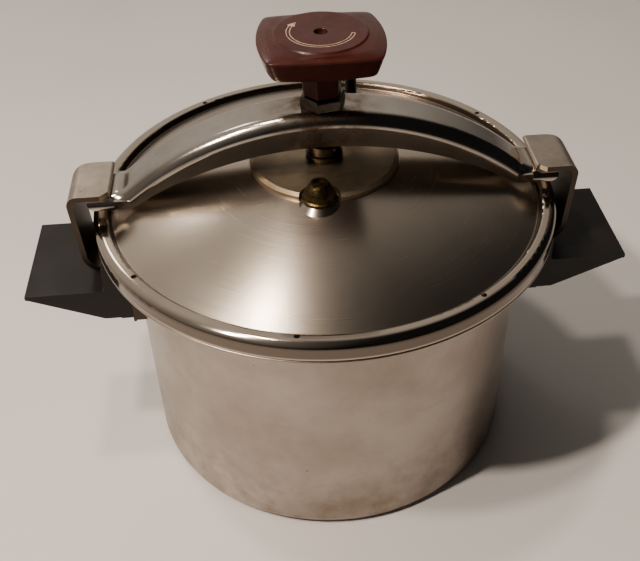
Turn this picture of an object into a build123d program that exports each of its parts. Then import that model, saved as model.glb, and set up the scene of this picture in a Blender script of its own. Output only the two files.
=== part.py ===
from build123d import *
import os
from math import cos, radians, sin, sqrt

os.makedirs("parts", exist_ok=True)

# ---------------------------------------------------------------- driving dimensions, mm
# The origin is the middle of the pot's base. +X runs along the clamp bar from hook to hook,
# and the relief valve is on the -Y side.

# Pot
POT_R = 111.2             # outside of the wall
WALL_T = 1.2
BASE_T = 3.0
CORNER_R = 6.0            # bottom corner, outside
RIM_Z = 152.6             # top of the out-turned rim
RIM_R = 128.7
RIM_T = 1.5

# Lid
LID_T = 1.5
DOME_R = 297.0            # sphere that the dome is part of
DOME_TOP = 183.8
CREASE_R = 119.0          # where the dome ends and the raised bead starts
BEAD_Z = 163.3
BEAD_IN_R = 120.6
SKIRT_Z = 153.1           # lower edge of the lid's skirt
VENT_HOLES = 8
VENT_HOLE_R = 1.5
VENT_CIRCLE_R = 122.6
VENT_FIRST_DEG = -11.0

# Centre plate and the two valves
PLATE_R = 41.0
PLATE_Z = 184.0
RELIEF_AT = (39.7, -98.1)     # radius, degrees round from +X
NOZZLE_AT = (40.0, 62.4)
SEAT_Z = 182.2                # flat top of the bosses under both valves
PAD_Z = 178.2                 # flat underside of the bosses, inside the lid
BOSS_TOP_R = 9.4
NECK_R = 4.5
NOTCH_R = 11.0

# Clamp bar
BAR_W = 30.0
BAR_T = 3.0
BAR_TOP = 216.0           # top of the arch
ARCH_R = 168.0
TONGUE_Z = 174.0          # flat ends, under the hooks
TONGUE_END = 129.5
LIP_Z = 166.8
FLANGE_MID = 198.0        # lower edge of the side flanges at the middle
FLANGE_R = 195.0
SHOULDER_R = 7.0

# Screw
SCREW_R = 7.0
FIT = 0.08                # radial running clearance
BUSH_FLATS = 21.6
BUSH_TOP = 221.8
BUSH_LOW = 204.0
BUSH_NECK_R = 10.0
KNOB_Z = 241.5            # underside of the knob's head
KNOB_RIM = 252.6
KNOB_TOP = 256.0
STEM_Z = 222.4
STEM_R = 10.6            # across the corners at the lower end, it widens upwards
STEM_TAPER = 5.0
KNOB_HOLE_R = 3.4
KNOB_HOLE_DEPTH = 5.0

# Hooks, brackets and handles
HOOK_W = 34.0
HOOK_T = 3.0
HOOK_TIP = 117.7
HOOK_UNDER = 174.3
HOOK_OUT = 138.4          # middle of the strip where it turns down
PLATE_IN = 112.0          # bracket plate, the face towards the pot
PLATE_OUT = 113.5
HANDLE_TIP = 169.8
HANDLE_TOP = 125.0
HANDLE_W = 67.0
HANDLE_LOW = 104.6
EAR_X = 126.0
EAR_Z = 141.0
LUG_Z = 112.0             # underside of the bracket's lug inside the handle
SCREW_X = 123.0           # handle screw


def around(place):
    """X and Y of a place given as radius and angle."""
    radius, angle = place
    return radius * cos(radians(angle)), radius * sin(radians(angle))


def save(piece, name):
    """Label a finished part and write its STEP file."""
    piece.part.label = name
    export_step(piece.part, f"parts/{name}.step")


RELIEF_X, RELIEF_Y = around(RELIEF_AT)
NOZZLE_X, NOZZLE_Y = around(NOZZLE_AT)
VALVE_SPOTS = [(RELIEF_X, RELIEF_Y), (NOZZLE_X, NOZZLE_Y)]


# ---------------------------------------------------------------- pot
with BuildPart() as pot_body:
    with BuildSketch(Plane.XZ):
        with BuildLine():
            Polyline(
                (0, 0),
                (POT_R, 0),
                (POT_R, RIM_Z - RIM_T),
                (RIM_R, RIM_Z - RIM_T),
                (RIM_R, RIM_Z),
                (POT_R - WALL_T, RIM_Z),
                (POT_R - WALL_T, BASE_T),
                (0, BASE_T),
                close=True,
            )
        make_face()
        for place, radius in [
            ((POT_R, 0), CORNER_R),
            ((POT_R - WALL_T, BASE_T), CORNER_R - WALL_T),
            ((POT_R, RIM_Z - RIM_T), 2.0),
            ((POT_R - WALL_T, RIM_Z), 1.1),
            ((RIM_R, RIM_Z - RIM_T), 0.7),
            ((RIM_R, RIM_Z), 0.7),
        ]:
            fillet(vertices().sort_by_distance(place)[0], radius=radius)
    revolve(axis=Axis.Z)

# ---------------------------------------------------------------- lid


def dome_z(radius):
    """Height of the dome's outside at a radius."""
    return DOME_TOP - radius**2 / (2 * DOME_R)


DOME_EDGE_Z = dome_z(CREASE_R)
SEAT_R = PLATE_R + 0.6          # the lid is pressed flat under the centre plate
PLATE_SEAT_Z = dome_z(SEAT_R)
DOME_MID_R = (SEAT_R + CREASE_R) / 2

with BuildPart() as lid_shell:
    with BuildSketch(Plane.XZ):
        with BuildLine():
            Line((0, PLATE_SEAT_Z), (SEAT_R, PLATE_SEAT_Z))
            ThreePointArc((SEAT_R, PLATE_SEAT_Z), (DOME_MID_R, dome_z(DOME_MID_R)), (CREASE_R, DOME_EDGE_Z))
            Polyline(
                (CREASE_R, DOME_EDGE_Z),
                (BEAD_IN_R, BEAD_Z),
                (RIM_R, BEAD_Z),
                (RIM_R, SKIRT_Z),
                (RIM_R - LID_T, SKIRT_Z),
                (RIM_R - LID_T, BEAD_Z - LID_T),
                (BEAD_IN_R + 1.0, BEAD_Z - LID_T),
                (CREASE_R + 0.5, DOME_EDGE_Z - LID_T),
                (CREASE_R - 0.6, DOME_EDGE_Z - LID_T),
            )
            ThreePointArc(
                (CREASE_R - 0.6, DOME_EDGE_Z - LID_T),
                (DOME_MID_R, dome_z(DOME_MID_R) - LID_T),
                (SEAT_R, PLATE_SEAT_Z - LID_T),
            )
            Polyline((SEAT_R, PLATE_SEAT_Z - LID_T), (0, PLATE_SEAT_Z - LID_T), (0, PLATE_SEAT_Z))
        make_face()
        for place, radius in [
            ((BEAD_IN_R, BEAD_Z), 2.4),
            ((RIM_R, BEAD_Z), 4.4),
            ((RIM_R - LID_T, BEAD_Z - LID_T), 2.2),
            ((BEAD_IN_R + 1.0, BEAD_Z - LID_T), 1.0),
            ((CREASE_R, DOME_EDGE_Z), 0.7),
            ((RIM_R, SKIRT_Z), 0.6),
        ]:
            fillet(vertices().sort_by_distance(place)[0], radius=radius)
    revolve(axis=Axis.Z)
    # pressed bosses that give the valves a flat seat, outside and inside
    with Locations(*[(x, y, (SEAT_Z + PAD_Z) / 2) for x, y in VALVE_SPOTS]):
        Cone(bottom_radius=BOSS_TOP_R + SEAT_Z - PAD_Z, top_radius=BOSS_TOP_R, height=SEAT_Z - PAD_Z)
    with BuildSketch(Plane.XY.offset(SEAT_Z - 8)):
        with Locations(*VALVE_SPOTS):
            Circle(NECK_R)
    extrude(amount=12, mode=Mode.SUBTRACT)
    # safety holes over the gasket
    with BuildSketch(Plane.XY.offset(BEAD_Z - 4)):
        with PolarLocations(VENT_CIRCLE_R, VENT_HOLES, start_angle=VENT_FIRST_DEG):
            Circle(VENT_HOLE_R)
    extrude(amount=6, mode=Mode.SUBTRACT)

GASKET_IN_R = 122.0
GASKET_OUT_R = 126.4
GASKET_LOW = RIM_Z + 0.3
GASKET_TOP = BEAD_Z - LID_T
with BuildPart() as lid_gasket:
    with BuildSketch(Plane.XZ):
        with Locations(((GASKET_IN_R + GASKET_OUT_R) / 2, (GASKET_LOW + GASKET_TOP) / 2)):
            Rectangle(GASKET_OUT_R - GASKET_IN_R, GASKET_TOP - GASKET_LOW)
        fillet(vertices().group_by(Axis.Y)[-1], radius=2.15)
        fillet(vertices().group_by(Axis.Y)[0], radius=1.0)
    revolve(axis=Axis.Z)

BEVEL_H = 1.0             # bevel round the plate's top edge
BEVEL_W = 2.4
with BuildPart() as centre_plate:
    with BuildSketch(Plane.XY.offset(PLATE_SEAT_Z)):
        Circle(PLATE_R)
    extrude(amount=PLATE_Z - BEVEL_H - PLATE_SEAT_Z)
    with Locations((0, 0, PLATE_Z - BEVEL_H / 2)):
        Cone(bottom_radius=PLATE_R, top_radius=PLATE_R - BEVEL_W, height=BEVEL_H)
    # central pivot for the pressure foot
    with BuildSketch(Plane.XY.offset(PLATE_Z)):
        Circle(4.0)
    extrude(amount=2.0)
    with BuildSketch(Plane.XY.offset(PLATE_SEAT_Z)):
        with Locations(*VALVE_SPOTS):
            Circle(NOTCH_R)
    extrude(amount=10, mode=Mode.SUBTRACT)

# ---------------------------------------------------------------- relief valve
CAVITY_R = 3.3
VALVE_SEAT_Z = 183.4
INLET_R = 1.5
RELIEF_TOP = 192.4
BALL_R = 1.9
WASHER_T = 1.2
NUT_T = 3.2
NECK_LOW = PAD_Z - WASHER_T - NUT_T - 0.6

with BuildPart() as relief_body:
    with BuildSketch(Plane.XZ.offset(-RELIEF_Y)):
        with BuildLine():
            Polyline(
                (RELIEF_X + INLET_R, NECK_LOW),
                (RELIEF_X + NECK_R, NECK_LOW),
                (RELIEF_X + NECK_R, SEAT_Z),
                (RELIEF_X + 9.3, SEAT_Z),
                (RELIEF_X + 9.3, SEAT_Z + 1.6),
                (RELIEF_X + 8.5, SEAT_Z + 2.2),
                (RELIEF_X + 8.2, SEAT_Z + 3.0),
            )
            RadiusArc((RELIEF_X + 8.2, SEAT_Z + 3.0), (RELIEF_X + 5.6, RELIEF_TOP - 1.1), -14)
            Polyline(
                (RELIEF_X + 5.6, RELIEF_TOP - 1.1),
                (RELIEF_X + 4.7, RELIEF_TOP),
                (RELIEF_X + CAVITY_R, RELIEF_TOP),
                (RELIEF_X + CAVITY_R, VALVE_SEAT_Z),
                (RELIEF_X + INLET_R, VALVE_SEAT_Z),
                (RELIEF_X + INLET_R, NECK_LOW),
            )
        make_face()
    revolve(axis=Axis((RELIEF_X, RELIEF_Y, 0), (0, 0, 1)))

BALL_Z = VALVE_SEAT_Z + sqrt(BALL_R**2 - INLET_R**2) + 0.08
with BuildPart() as relief_ball:
    with Locations((RELIEF_X, RELIEF_Y, BALL_Z)):
        Sphere(BALL_R)

SPRING_TOP = 189.7
with BuildPart() as relief_spring:
    with BuildSketch(Plane.XY.offset(BALL_Z + BALL_R + 0.05)):
        with Locations((RELIEF_X, RELIEF_Y)):
            Circle(2.6)
            Circle(1.8, mode=Mode.SUBTRACT)
    extrude(amount=SPRING_TOP - BALL_Z - BALL_R - 0.05)

with BuildPart() as relief_screw:
    with BuildSketch(Plane.XY.offset(SPRING_TOP)):
        with Locations((RELIEF_X, RELIEF_Y)):
            Circle(CAVITY_R)
            Circle(0.6, mode=Mode.SUBTRACT)
    extrude(amount=1.7)
    with BuildSketch(Plane.XY.offset(SPRING_TOP + 0.8)):
        with Locations((RELIEF_X, RELIEF_Y)):
            Rectangle(0.9, 2 * CAVITY_R + 1, rotation=20)
    extrude(amount=2, mode=Mode.SUBTRACT)


def seat_washer(x, y):
    """Flat red seal that fits round a valve's neck, inside the lid."""
    with BuildPart() as washer:
        with BuildSketch(Plane.XY.offset(PAD_Z - WASHER_T)):
            with Locations((x, y)):
                Circle(7.5)
                Circle(NECK_R, mode=Mode.SUBTRACT)
        extrude(amount=WASHER_T)
    return washer


def neck_nut(x, y):
    """Hexagon nut that clamps a valve to the lid from inside."""
    with BuildPart() as nut:
        with BuildSketch(Plane.XY.offset(PAD_Z - WASHER_T - NUT_T)):
            with Locations((x, y)):
                RegularPolygon(radius=6.5, side_count=6, major_radius=False)
                Circle(NECK_R, mode=Mode.SUBTRACT)
        extrude(amount=NUT_T)
    return nut


relief_washer = seat_washer(RELIEF_X, RELIEF_Y)
relief_nut = neck_nut(RELIEF_X, RELIEF_Y)

# ---------------------------------------------------------------- steam nozzle and its weight
NOZZLE_TOP = 193.0
NOZZLE_R = 3.4
JET_R = 1.2
WEIGHT_R = 9.0
WEIGHT_Z = 186.4
WEIGHT_TOP = 199.5
NEEDLE_R = 0.95
GRIP_R = 2.9
GRIP_TOP = 213.0

with BuildPart() as vent_nozzle:
    with BuildSketch(Plane.XZ.offset(-NOZZLE_Y)):
        with BuildLine():
            Polyline(
                (NOZZLE_X + JET_R, NECK_LOW),
                (NOZZLE_X + NECK_R, NECK_LOW),
                (NOZZLE_X + NECK_R, SEAT_Z),
                (NOZZLE_X + 8.0, SEAT_Z),
                (NOZZLE_X + 8.0, SEAT_Z + 2.2),
                (NOZZLE_X + NOZZLE_R + 0.6, SEAT_Z + 3.0),
                (NOZZLE_X + NOZZLE_R, NOZZLE_TOP - 1.4),
                (NOZZLE_X + 2.2, NOZZLE_TOP),
                (NOZZLE_X + JET_R, NOZZLE_TOP),
                close=True,
            )
        make_face()
    revolve(axis=Axis((NOZZLE_X, NOZZLE_Y, 0), (0, 0, 1)))

nozzle_washer = seat_washer(NOZZLE_X, NOZZLE_Y)
nozzle_nut = neck_nut(NOZZLE_X, NOZZLE_Y)

with BuildPart() as regulator_weight:
    with BuildSketch(Plane.XY.offset(WEIGHT_Z)):
        with Locations((NOZZLE_X, NOZZLE_Y)):
            Circle(WEIGHT_R)
    extrude(amount=WEIGHT_TOP - WEIGHT_Z)
    chamfer(edges().group_by(Axis.Z)[-1], length=1.6)
    fillet(edges().group_by(Axis.Z)[0], radius=0.6)
    with BuildSketch(Plane.XY.offset(WEIGHT_Z)):
        with Locations((NOZZLE_X, NOZZLE_Y)):
            Circle(NOZZLE_R + 0.95)
    extrude(amount=NOZZLE_TOP + 0.3 - WEIGHT_Z, mode=Mode.SUBTRACT)
    with BuildSketch(Plane.XY.offset(NOZZLE_TOP)):
        with Locations((NOZZLE_X, NOZZLE_Y)):
            Circle(NEEDLE_R + 0.05)
    extrude(amount=WEIGHT_TOP - NOZZLE_TOP, mode=Mode.SUBTRACT)

with BuildPart() as regulator_needle:
    with BuildSketch(Plane.XY.offset(NOZZLE_TOP - 2.5)):
        with Locations((NOZZLE_X, NOZZLE_Y)):
            Circle(JET_R - 0.3)
    extrude(amount=3.0)
    with BuildSketch(Plane.XY.offset(NOZZLE_TOP + 0.5)):
        with Locations((NOZZLE_X, NOZZLE_Y)):
            Circle(NEEDLE_R)
    extrude(amount=WEIGHT_TOP - NOZZLE_TOP - 0.8)

with BuildPart() as regulator_grip:
    with BuildSketch(Plane.XY.offset(WEIGHT_TOP)):
        with Locations((NOZZLE_X, NOZZLE_Y)):
            Circle(GRIP_R + 0.5)
    extrude(amount=GRIP_TOP - WEIGHT_TOP, taper=1.5)
    fillet(edges().group_by(Axis.Z)[-1], radius=1.2)

# ---------------------------------------------------------------- pressure foot
FOOT_Z = PLATE_Z + 0.3
FOOT_R = 10.2
FOOT_T = 3.0
HUB_R = 9.2
HUB_TOP = 193.6
PIN_Z = 190.6
TIP_R = 5.0
TIP_Z = 187.4
with BuildPart() as pressure_foot:
    with BuildSketch(Plane.XY.offset(FOOT_Z)):
        Circle(FOOT_R)
    extrude(amount=FOOT_T)
    fillet(edges().group_by(Axis.Z)[-1], radius=0.8)
    with BuildSketch(Plane.XY.offset(FOOT_Z + FOOT_T)):
        Circle(HUB_R)
    extrude(amount=HUB_TOP - FOOT_Z - FOOT_T)
    chamfer(edges().group_by(Axis.Z)[-1], length=1.0)
    with BuildSketch(Plane.XY.offset(TIP_Z - 0.3)):
        Circle(TIP_R + FIT)
    extrude(amount=10, mode=Mode.SUBTRACT)
    with BuildSketch(Plane.XY.offset(FOOT_Z)):
        Circle(4.0 + FIT)
    extrude(amount=2.0, mode=Mode.SUBTRACT)
    # cross hole for the pin that keeps the screw in the foot
    with BuildSketch(Plane.XZ):
        with Locations((TIP_R - 0.2, PIN_Z)):
            Circle(1.0)
    extrude(amount=HUB_R + 1, both=True, mode=Mode.SUBTRACT)

with BuildPart() as foot_pin:
    with BuildSketch(Plane.XZ):
        with Locations((TIP_R - 0.2, PIN_Z)):
            Circle(1.0)
    extrude(amount=HUB_R - 2.2, both=True)

# ---------------------------------------------------------------- screw
with BuildPart() as spindle:
    with BuildSketch(Plane.XY.offset(TIP_Z)):
        Circle(TIP_R)
    extrude(amount=7.0)
    with BuildSketch(Plane.XY.offset(TIP_Z + 7.0)):
        Circle(SCREW_R)
    extrude(amount=KNOB_Z + 5.0 - TIP_Z - 7.0)
    # neck that the foot's cross pin runs in
    with BuildSketch(Plane.XZ):
        with Locations((TIP_R, PIN_Z)):
            Rectangle(2.8, 2.6)
    revolve(axis=Axis.Z, mode=Mode.SUBTRACT)
    # blind hole for the knob's screw
    with BuildSketch(Plane.XY.offset(KNOB_Z - 7.0)):
        Circle(2.0)
    extrude(amount=20, mode=Mode.SUBTRACT)

KNOB_END_X = 33.4
KNOB_CORNER = (28.4, 27.6)
KNOB_SIDE_Y = 28.9
KNOB_TAPER = 16.0
with BuildPart() as knob_body:
    with BuildSketch(Plane.XY.offset(KNOB_RIM)):
        with BuildLine():
            for side in (1, -1):
                ThreePointArc(
                    (side * KNOB_CORNER[0], -side * KNOB_CORNER[1]),
                    (side * KNOB_END_X, 0),
                    (side * KNOB_CORNER[0], side * KNOB_CORNER[1]),
                )
                ThreePointArc(
                    (side * KNOB_CORNER[0], side * KNOB_CORNER[1]),
                    (0, side * KNOB_SIDE_Y),
                    (-side * KNOB_CORNER[0], side * KNOB_CORNER[1]),
                )
        make_face()
        fillet(vertices(), radius=4.5)
    extrude(amount=KNOB_Z - KNOB_RIM, taper=KNOB_TAPER)
    fillet(edges().group_by(Axis.Z)[-1], radius=1.4)
    fillet(edges().group_by(Axis.Z)[0], radius=1.6)
    with Locations((0, 0, (KNOB_RIM + KNOB_TOP) / 2)):
        Cone(bottom_radius=25.4, top_radius=23.6, height=KNOB_TOP - KNOB_RIM)
    with BuildSketch(Plane.XY.offset(STEM_Z)):
        RegularPolygon(radius=STEM_R, side_count=6, rotation=12)
    extrude(amount=KNOB_Z - STEM_Z, taper=-STEM_TAPER)
    with BuildSketch(Plane.XY.offset(STEM_Z)):
        Circle(SCREW_R)
    extrude(amount=KNOB_Z + 5.0 - STEM_Z, mode=Mode.SUBTRACT)
    with BuildSketch(Plane.XY.offset(KNOB_Z)):
        Circle(2.1)
    extrude(amount=20, mode=Mode.SUBTRACT)
    with BuildSketch(Plane.XY.offset(KNOB_TOP - KNOB_HOLE_DEPTH)):
        Circle(KNOB_HOLE_R)
    extrude(amount=10, mode=Mode.SUBTRACT)

with BuildPart() as knob_screw:
    with BuildSketch(Plane.XY.offset(KNOB_Z - 6.0)):
        Circle(2.0)
    extrude(amount=KNOB_TOP - KNOB_HOLE_DEPTH - KNOB_Z + 6.0)
    with BuildSketch(Plane.XY.offset(KNOB_TOP - KNOB_HOLE_DEPTH)):
        Circle(KNOB_HOLE_R - 0.1)
    extrude(amount=2.8)
    with BuildSketch(Plane.XY.offset(KNOB_TOP - 3.4)):
        Rectangle(8, 1.0, rotation=35)
    extrude(amount=3, mode=Mode.SUBTRACT)

# ---------------------------------------------------------------- clamp bar
ARCH_C = BAR_TOP - ARCH_R
FLANGE_C = FLANGE_MID - FLANGE_R
LIP_DEPTH = TONGUE_Z - LIP_Z
BEND_R = 9.0              # where the arch runs out into the flat tongue
BEND_X = sqrt((ARCH_R + BEND_R) ** 2 - (TONGUE_Z + BEND_R - ARCH_C) ** 2)
BEND_SHARE = ARCH_R / (ARCH_R + BEND_R)
ARCH_FOOT = (BEND_SHARE * BEND_X, ARCH_C + BEND_SHARE * (TONGUE_Z + BEND_R - ARCH_C))
FLANGE_FOOT = sqrt(FLANGE_R**2 - (LIP_Z - FLANGE_C) ** 2)

with BuildPart() as yoke_bar:
    with BuildLine(Plane.XZ) as bar_line:
        Line((-TONGUE_END, TONGUE_Z), (-BEND_X, TONGUE_Z))
        TangentArc((-BEND_X, TONGUE_Z), (-ARCH_FOOT[0], ARCH_FOOT[1]), tangent=(1, 0))
        ThreePointArc((-ARCH_FOOT[0], ARCH_FOOT[1]), (0, BAR_TOP), ARCH_FOOT)
        TangentArc((BEND_X, TONGUE_Z), ARCH_FOOT, tangent=(-1, 0))
        Line((BEND_X, TONGUE_Z), (TONGUE_END, TONGUE_Z))
    # rounded channel section, top face on the line
    with BuildSketch(Plane(origin=(-TONGUE_END, 0, TONGUE_Z), x_dir=(0, 1, 0), z_dir=(1, 0, 0))):
        with Locations((0, -LIP_DEPTH / 2)):
            Rectangle(BAR_W, LIP_DEPTH)
        fillet(vertices().group_by(Axis.Y)[-1], radius=SHOULDER_R)
        with BuildSketch(mode=Mode.SUBTRACT):
            with Locations((0, -BAR_T - LIP_DEPTH / 2)):
                Rectangle(BAR_W - 2 * BAR_T, LIP_DEPTH)
            fillet(vertices().group_by(Axis.Y)[-1], radius=SHOULDER_R - BAR_T)
    sweep(path=bar_line.line)
    # deeper side flanges under the arch
    with BuildSketch(Plane.XZ.offset(BAR_W / 2 - BAR_T)):
        with Locations((0, ARCH_C)):
            Circle(ARCH_R - LIP_DEPTH + 0.1)
        with Locations((-BEND_X + 4.0, LIP_Z + 2.5), (BEND_X - 4.0, LIP_Z + 2.5)):
            Rectangle(9.0, 5.0)
        with Locations((0, FLANGE_C)):
            Circle(FLANGE_R, mode=Mode.SUBTRACT)
        with Locations((0, LIP_Z - ARCH_R)):
            Rectangle(3 * ARCH_R, 2 * ARCH_R, mode=Mode.SUBTRACT)
        for side in (-1, 1):
            fillet(vertices().sort_by_distance((side * FLANGE_FOOT, LIP_Z))[0], radius=8.0)
    extrude(amount=BAR_T)
    mirror(about=Plane.XZ)
    # rounded lower corners at the tongues' ends
    end_edges = edges().filter_by(Axis.Y).filter_by(
        lambda e: abs(abs(e.center().X) - TONGUE_END) < 0.01 and abs(e.center().Z - LIP_Z) < 0.01
    )
    fillet(end_edges, radius=4.0)
    # hole for the screw bush
    with BuildSketch(Plane.XY.offset(BAR_TOP - 10)):
        Circle(BUSH_NECK_R)
    extrude(amount=20, mode=Mode.SUBTRACT)

with BuildPart() as screw_bush:
    with BuildSketch(Plane.XY.offset(BAR_TOP)):
        RegularPolygon(radius=BUSH_FLATS / 2, side_count=6, major_radius=False, rotation=12)
    extrude(amount=BUSH_TOP - BAR_TOP)
    chamfer(edges().group_by(Axis.Z)[-1], length=0.8)
    with BuildSketch(Plane.XY.offset(BUSH_LOW)):
        Circle(BUSH_NECK_R)
    extrude(amount=BAR_TOP - BUSH_LOW)
    with BuildSketch(Plane.XY.offset(BUSH_LOW - 4)):
        Circle(SCREW_R + FIT)
    extrude(amount=40, mode=Mode.SUBTRACT)

# ---------------------------------------------------------------- hooks, brackets, handles
HOOK_MID = HOOK_UNDER + HOOK_T / 2


def hook(side):
    """Steel strip bent over the clamp bar's tongue, down outside the rim and in to the bracket."""
    tab_x = PLATE_OUT + HOOK_T / 2
    with BuildPart() as strip:
        with BuildSketch(Plane.XZ):
            with BuildLine():
                FilletPolyline(
                    (side * HOOK_TIP, HOOK_MID),
                    (side * HOOK_OUT, HOOK_MID),
                    (side * (HOOK_OUT - 2.4), 127.4),
                    (side * tab_x, 127.4),
                    (side * tab_x, 117.0),
                    radius=[4.4, 11.0, 3.0],
                )
                offset(amount=HOOK_T / 2, kind=Kind.INTERSECTION)
            make_face()
        extrude(amount=HOOK_W / 2, both=True)
        # plan view: the back outer corner is rounded, the front inner one cut off
        with BuildSketch(Plane.XY.offset(100)):
            with BuildLine():
                Polyline(
                    (side * (HOOK_TIP - 20), HOOK_W),
                    (side * (HOOK_OUT + 1.7), HOOK_W),
                    (side * (HOOK_OUT + 1.7), HOOK_W / 2 - 12),
                    (side * (HOOK_OUT - 10.3), HOOK_W / 2),
                    (side * (HOOK_TIP - 20), HOOK_W / 2),
                    close=True,
                )
            make_face()
            with Locations((side * (HOOK_OUT - 10.3), HOOK_W / 2 - 12)):
                Circle(12, mode=Mode.SUBTRACT)
        extrude(amount=100, mode=Mode.SUBTRACT)
        with BuildSketch(Plane.XY.offset(HOOK_UNDER - 1)):
            with Locations((side * HOOK_TIP, -HOOK_W / 2)):
                Rectangle(5.5, 5.5, rotation=45)
        extrude(amount=10, mode=Mode.SUBTRACT)
    return strip


def bracket(side):
    """Pressed plate that stands off the wall on two turned-in edges, with a lug for the handle."""
    with BuildPart() as plate:
        with Locations((side * (PLATE_IN + PLATE_OUT) / 2, 0, 122)):
            Box(PLATE_OUT - PLATE_IN, 66, 42)
        for edge_y in (-32.25, 32.25):
            with Locations((side * 106, edge_y, 120)):
                Box(12, 1.5, 36)
        with BuildSketch(Plane.XY.offset(90)):
            Circle(POT_R)
        extrude(amount=61, mode=Mode.SUBTRACT)
        with Locations((side * (PLATE_OUT + 10), 0, LUG_Z + 1.5)):
            Box(20, 20, 3)
        with Locations((side * SCREW_X, 0, LUG_Z + 1.5)):
            Cylinder(2.5, 3, mode=Mode.SUBTRACT)
    return plate


def handle(side):
    """Moulded wedge with a thin outer edge, and two ears either side of the hook strip."""
    low_x = 129.0
    with BuildPart() as grip:
        with BuildSketch(Plane.XZ):
            with BuildLine():
                Polyline(
                    (side * PLATE_OUT, HANDLE_LOW),
                    (side * low_x, HANDLE_LOW),
                    (side * HANDLE_TIP, HANDLE_TOP - 2.6),
                    (side * HANDLE_TIP, HANDLE_TOP),
                    (side * EAR_X, HANDLE_TOP),
                    (side * EAR_X, EAR_Z),
                    (side * PLATE_OUT, EAR_Z),
                    close=True,
                )
            make_face()
            fillet(vertices().sort_by_distance((side * HANDLE_TIP, HANDLE_TOP - 2.6))[0], radius=1.8)
            fillet(vertices().sort_by_distance((side * low_x, HANDLE_LOW))[0], radius=4.0)
            fillet(vertices().sort_by_distance((side * EAR_X, HANDLE_TOP))[0], radius=2.0)
            fillet(vertices().sort_by_distance((side * EAR_X, EAR_Z))[0], radius=2.0)
        extrude(amount=HANDLE_W / 2, both=True)
        # the sides stand back a little under the top face
        for edge_y in (-HANDLE_W / 2, HANDLE_W / 2):
            with Locations((side * 150, edge_y, 106)):
                Box(60, 1.4, 33, mode=Mode.SUBTRACT)
        # gap for the hook strip between the ears, and its tab
        with Locations((side * 120, 0, 135.2)):
            Box(20, HOOK_W + 1.2, 20, mode=Mode.SUBTRACT)
        with Locations((side * (PLATE_OUT + 1.5), 0, 121)):
            Box(4.4, HOOK_W + 1.2, 12, mode=Mode.SUBTRACT)
        # slot for the bracket's lug, and the screw's counterbored hole
        with Locations((side * (PLATE_OUT + 10.2), 0, LUG_Z + 1.5)):
            Box(20.4, 20, 3, mode=Mode.SUBTRACT)
        with Locations((side * SCREW_X, 0, HANDLE_LOW + 4)):
            Cylinder(2.5, 14, mode=Mode.SUBTRACT)
        with Locations((side * SCREW_X, 0, HANDLE_LOW + 1.7)):
            Cylinder(4.8, 3.4, mode=Mode.SUBTRACT)
    return grip


left_hook, right_hook = hook(-1), hook(1)
left_bracket, right_bracket = bracket(-1), bracket(1)
left_handle, right_handle = handle(-1), handle(1)

with BuildPart() as handle_screws:
    for side in (-1, 1):
        with Locations((side * SCREW_X, 0, HANDLE_LOW + 2.0)):
            Cylinder(4.5, 2.8)
        with Locations((side * SCREW_X, 0, HANDLE_LOW + 6.6)):
            Cylinder(2.5, 6.6)
        with Locations((side * SCREW_X, 0, HANDLE_LOW + 0.9)):
            Box(10, 1.2, 1.2, mode=Mode.SUBTRACT)

# ---------------------------------------------------------------- files
for part_name, piece in {
    "pot_body": pot_body,
    "left_hook": left_hook,
    "right_hook": right_hook,
    "left_bracket": left_bracket,
    "right_bracket": right_bracket,
    "left_handle": left_handle,
    "right_handle": right_handle,
    "handle_screws": handle_screws,
    "lid_shell": lid_shell,
    "lid_gasket": lid_gasket,
    "centre_plate": centre_plate,
    "relief_body": relief_body,
    "relief_ball": relief_ball,
    "relief_spring": relief_spring,
    "relief_screw": relief_screw,
    "relief_washer": relief_washer,
    "relief_nut": relief_nut,
    "vent_nozzle": vent_nozzle,
    "nozzle_washer": nozzle_washer,
    "nozzle_nut": nozzle_nut,
    "regulator_weight": regulator_weight,
    "regulator_needle": regulator_needle,
    "regulator_grip": regulator_grip,
    "pressure_foot": pressure_foot,
    "foot_pin": foot_pin,
    "spindle": spindle,
    "knob_body": knob_body,
    "knob_screw": knob_screw,
    "yoke_bar": yoke_bar,
    "screw_bush": screw_bush,
}.items():
    save(piece, part_name)
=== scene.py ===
from math import cos, pi, radians, sin, tau

import bmesh
import bpy
import numpy as np
from mathutils import Matrix, Vector


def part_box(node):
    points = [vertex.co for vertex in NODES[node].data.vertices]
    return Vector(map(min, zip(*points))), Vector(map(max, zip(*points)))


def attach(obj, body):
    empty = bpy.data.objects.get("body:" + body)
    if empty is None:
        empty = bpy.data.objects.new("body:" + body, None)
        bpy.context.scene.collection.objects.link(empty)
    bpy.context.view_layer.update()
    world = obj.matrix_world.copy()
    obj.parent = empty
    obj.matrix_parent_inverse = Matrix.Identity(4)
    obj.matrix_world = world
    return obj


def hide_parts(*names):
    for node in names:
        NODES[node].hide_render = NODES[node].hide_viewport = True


bl_info = {
    "name": "Clamp-lid pressure canner",
    "version": (1, 0, 0),
    "blender": (4, 5, 0),
    "location": "View3D > Sidebar > Canner",
    "description": "Builds the visible pieces and finishes of a clamp-lid pressure canner",
    "category": "Object",
}

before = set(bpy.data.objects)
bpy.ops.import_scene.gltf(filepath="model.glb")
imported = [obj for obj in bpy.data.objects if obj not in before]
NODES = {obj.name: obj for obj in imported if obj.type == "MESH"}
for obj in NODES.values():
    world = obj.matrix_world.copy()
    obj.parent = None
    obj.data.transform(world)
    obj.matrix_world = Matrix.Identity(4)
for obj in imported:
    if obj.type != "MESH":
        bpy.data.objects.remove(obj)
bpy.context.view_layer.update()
MM = 0.001
SENSOR_MM = 36.0
LENS_MM = 51.62
LENS_SHIFT = (-0.0347, -0.0026)  # shares of the sensor's width


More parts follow.
